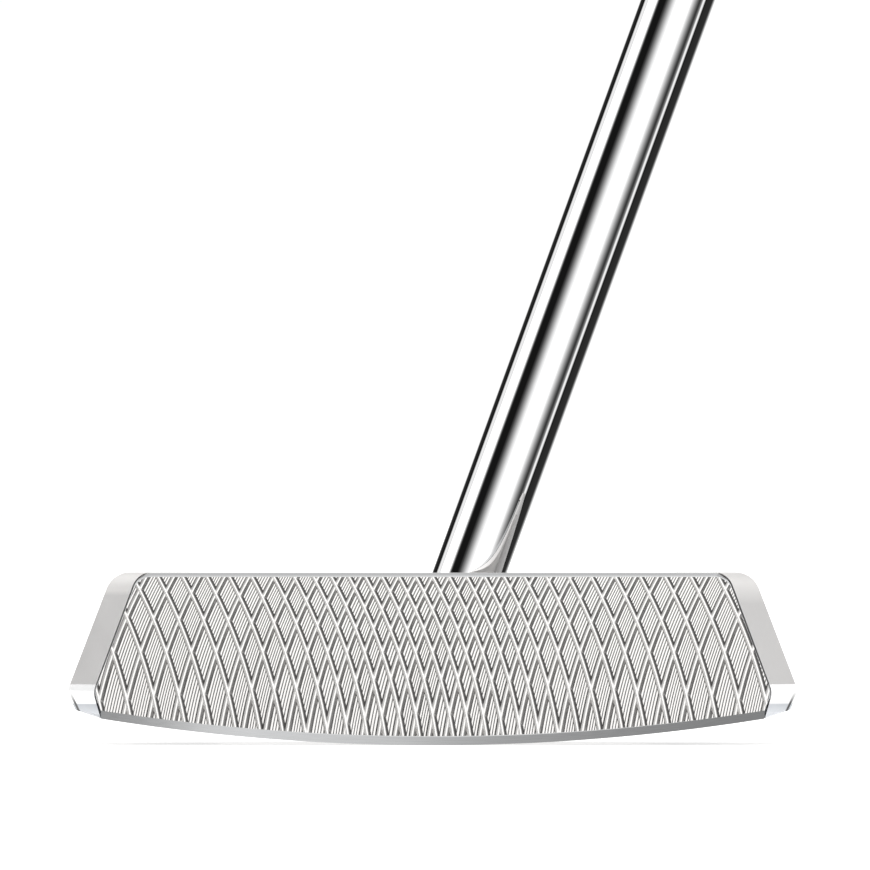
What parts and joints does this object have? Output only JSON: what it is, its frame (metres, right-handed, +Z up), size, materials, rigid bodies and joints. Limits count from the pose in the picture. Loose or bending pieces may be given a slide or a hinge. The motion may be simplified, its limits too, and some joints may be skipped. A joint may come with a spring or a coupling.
{
  "type": "blade putter",
  "caption": "Right-handed centre-shafted blade putter: milled face plate with crossing arc ridges, flared heel and toe, chromed stepped steel shaft and flat-front rubber grip.",
  "frame": {"origin": "lowest point of the sole, on the ground under the middle of the head and in the plane that holds the shaft axis", "axes": "+X from the toe towards the heel, +Y from the striking face towards the back of the head, +Z up with the club standing at its lie angle"},
  "size_m": [0.3585, 0.0284, 0.8154],
  "materials": {
    "head_steel": "bead-blasted satin stainless steel",
    "face_steel": "bright milled stainless steel",
    "bond_layer": "thin dark bonding and damping film",
    "post_steel": "turned steel",
    "epoxy": "cured adhesive",
    "weight_steel": "turned stainless steel",
    "sight_paint": "filled black enamel",
    "shaft_chrome": "polished chrome plating",
    "tape": "double-sided paper tape",
    "grip_underlay": "dense rubber underlay",
    "grip_rubber": "matte fine-textured rubber",
    "cap_rubber": "smooth satin rubber"
  },
  "bodies": {
    "root": {"head_body": "head_steel", "face_plate": "face_steel", "face_bond": "bond_layer", "hosel_post": "post_steel", "shaft_epoxy": "epoxy", "toe_sole_weight": "weight_steel", "heel_sole_weight": "weight_steel", "sight_line_fill": "sight_paint", "shaft": "shaft_chrome", "grip_tape": "tape", "grip_core": "grip_underlay", "grip_skin": "grip_rubber", "grip_cap": "cap_rubber"}
  },
  "joints": []
}
